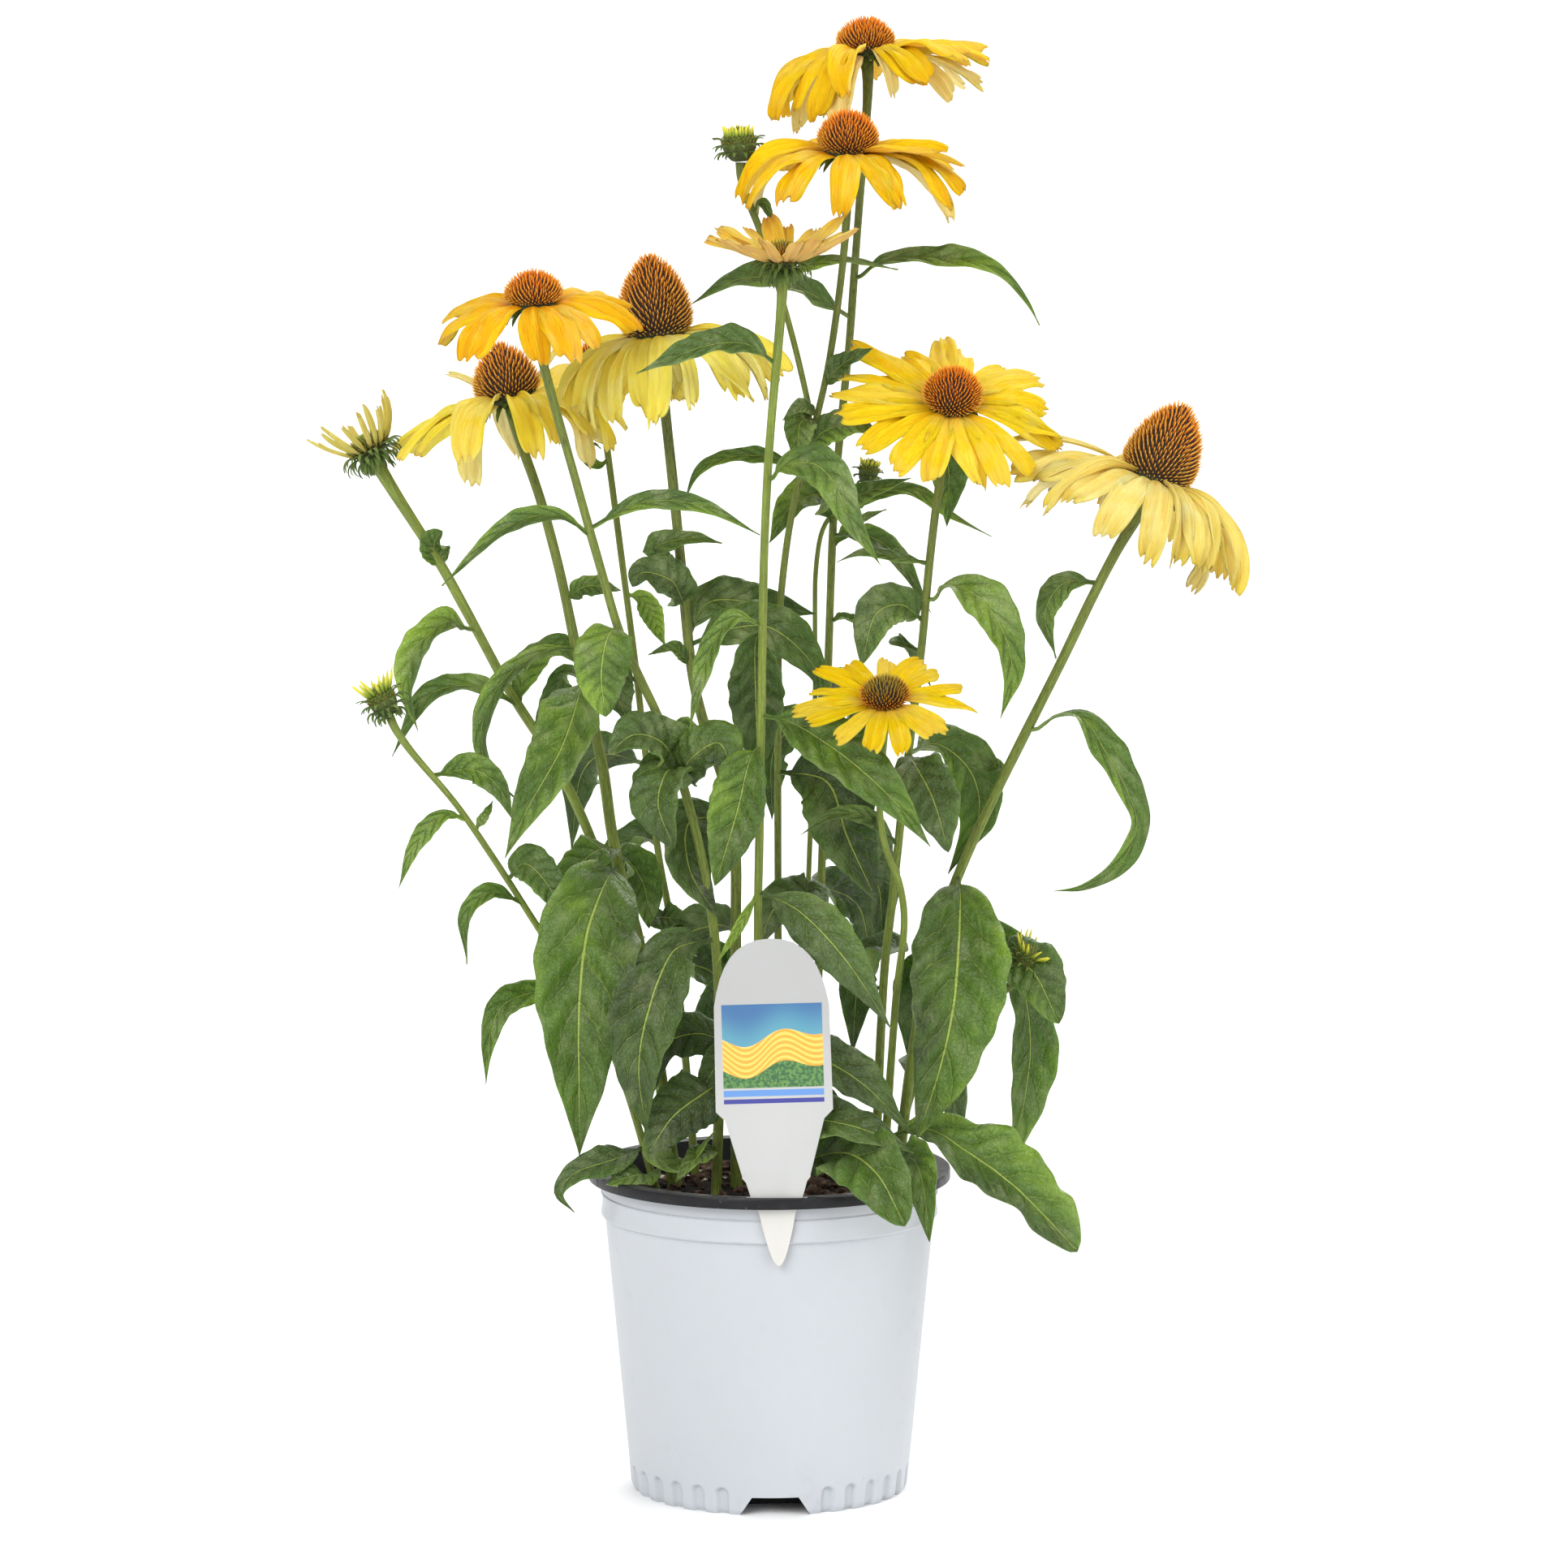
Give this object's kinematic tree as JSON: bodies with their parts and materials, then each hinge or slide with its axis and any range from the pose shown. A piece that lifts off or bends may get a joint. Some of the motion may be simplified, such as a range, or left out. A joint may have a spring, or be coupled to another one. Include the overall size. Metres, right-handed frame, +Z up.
{
  "type": "potted coneflower",
  "caption": "Yellow coneflower in a pale nursery pot, with open flowers, opening buds, leafy green stems, soil and a blank plant tag.",
  "frame": {"origin": "centre of the pot's base, on the surface that the pot stands on", "axes": "+Z up along the pot's axis, -Y towards the viewer and the plant tag, +X to the viewer's right"},
  "size_m": [0.4215, 0.2401, 0.667],
  "materials": {
    "pot_plastic": "satin",
    "potting_mix": "rough",
    "tag_plastic": "satin",
    "stem_green": "matte",
    "leaf_green": "matte",
    "cone_spines": "matte",
    "ray_petals": "satin",
    "bud_green": "matte"
  },
  "bodies": {
    "root": {"pot": "pot_plastic", "soil": "potting_mix", "plant_tag": "tag_plastic", "flower_1_stem": "stem_green", "flower_1_cone": "cone_spines", "flower_1_rays": "ray_petals", "flower_2_stem": "stem_green", "flower_2_cone": "cone_spines", "flower_2_rays": "ray_petals", "flower_3_stem": "stem_green", "flower_3_cone": "cone_spines", "flower_3_rays": "ray_petals", "flower_4_stem": "stem_green", "flower_4_cone": "cone_spines", "flower_4_rays": "ray_petals", "flower_5_stem": "stem_green", "flower_5_cone": "cone_spines", "flower_5_rays": "ray_petals", "flower_6_stem": "stem_green", "flower_6_cone": "cone_spines", "flower_6_rays": "ray_petals", "flower_7_stem": "stem_green", "flower_7_cone": "cone_spines", "flower_7_rays": "ray_petals", "flower_8_stem": "stem_green", "flower_8_cone": "cone_spines", "flower_8_rays": "ray_petals", "flower_9_stem": "stem_green", "flower_9_cone": "cone_spines", "flower_9_rays": "ray_petals", "flower_10_stem": "stem_green", "flower_10_cone": "cone_spines", "flower_10_rays": "ray_petals", "flower_11_stem": "stem_green", "flower_11_cone": "cone_spines", "flower_11_rays": "ray_petals", "bud_1_stem": "stem_green", "bud_1_head": "bud_green", "bud_2_stem": "stem_green", "bud_2_head": "bud_green", "bud_3_stem": "stem_green", "bud_3_head": "bud_green", "bud_4_stem": "stem_green", "bud_4_head": "bud_green", "leaf_1": "leaf_green", "leaf_2": "leaf_green", "leaf_3": "leaf_green", "leaf_4": "leaf_green", "leaf_5": "leaf_green", "leaf_6": "leaf_green", "leaf_7": "leaf_green", "leaf_8": "leaf_green", "leaf_9": "leaf_green", "leaf_10": "leaf_green", "leaf_11": "leaf_green", "leaf_12": "leaf_green", "leaf_13": "leaf_green", "leaf_14": "leaf_green", "leaf_15": "leaf_green", "leaf_16": "leaf_green"}
  },
  "joints": []
}
